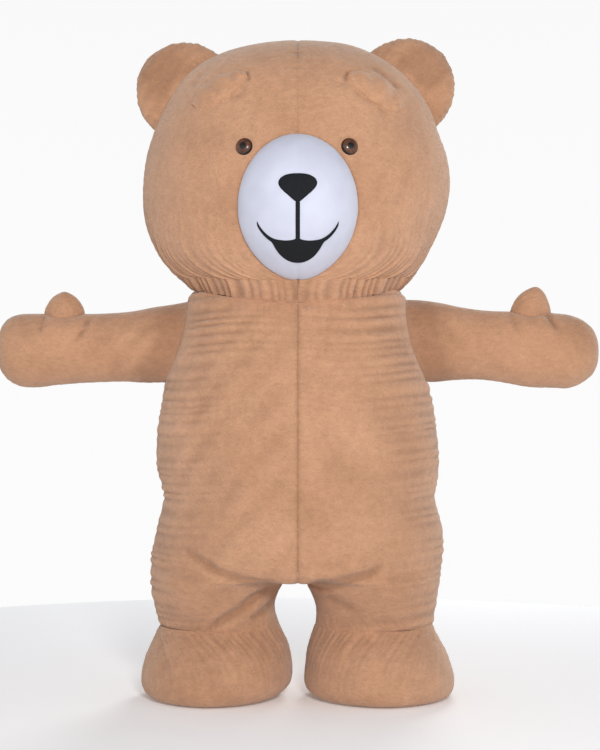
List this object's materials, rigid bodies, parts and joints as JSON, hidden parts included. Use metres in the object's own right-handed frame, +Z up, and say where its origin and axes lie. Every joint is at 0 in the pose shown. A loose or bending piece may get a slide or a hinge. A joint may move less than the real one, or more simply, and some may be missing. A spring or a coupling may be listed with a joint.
{
  "type": "bear mascot costume",
  "caption": "Air-filled plush bear costume standing upright: round head with pale muzzle, stubby arms held out, short legs and big feet, hollow throughout.",
  "frame": {"origin": "on the ground under the soles, at the centre of the costume's overall box", "axes": "+Z up, -Y the way the bear faces, +X towards the viewer's right when the bear is seen from its front"},
  "size_m": [2.3518, 1.1468, 2.5788],
  "materials": {
    "plush": "short-pile tan plush",
    "muzzle_cloth": "smooth pale muzzle cloth",
    "black_felt": "black applique cloth",
    "eye_plastic": "glossy brown safety eye",
    "zip_tape": "woven zip tape",
    "zip_metal": "satin antique brass"
  },
  "bodies": {
    "costume": {"head_front_left": "plush", "head_front_right": "plush", "head_back_left": "plush", "head_back_right": "plush", "ear_front_left": "plush", "ear_front_right": "plush", "ear_back_left": "plush", "ear_back_right": "plush", "body_front_left": "plush", "body_front_right": "plush", "body_back_left": "plush", "body_back_right": "plush", "arm_front_left": "plush", "arm_front_right": "plush", "arm_back_left": "plush", "arm_back_right": "plush", "foot_front_left": "plush", "foot_front_right": "plush", "foot_back_left": "plush", "foot_back_right": "plush", "thumb_left": "plush", "thumb_right": "plush", "sole_left": "plush", "sole_right": "plush", "brow_left": "plush", "brow_right": "plush", "muzzle": "muzzle_cloth", "nose": "black_felt", "nose_line": "black_felt", "mouth": "black_felt", "eye_left": "eye_plastic", "eye_right": "eye_plastic", "zip_tape_left": "zip_tape", "zip_tape_right": "zip_tape", "zip_slider": "zip_metal"},
    "zip_pull": {"zip_pull": "zip_metal"}
  },
  "joints": [
    {"name": "zip_pull_hinge", "type": "hinge", "parent": "costume", "child": "zip_pull", "pos_m": [0, 0.47377, 1.44049], "axis": [1, 0, 0], "range_deg": [0, 150]}
  ]
}
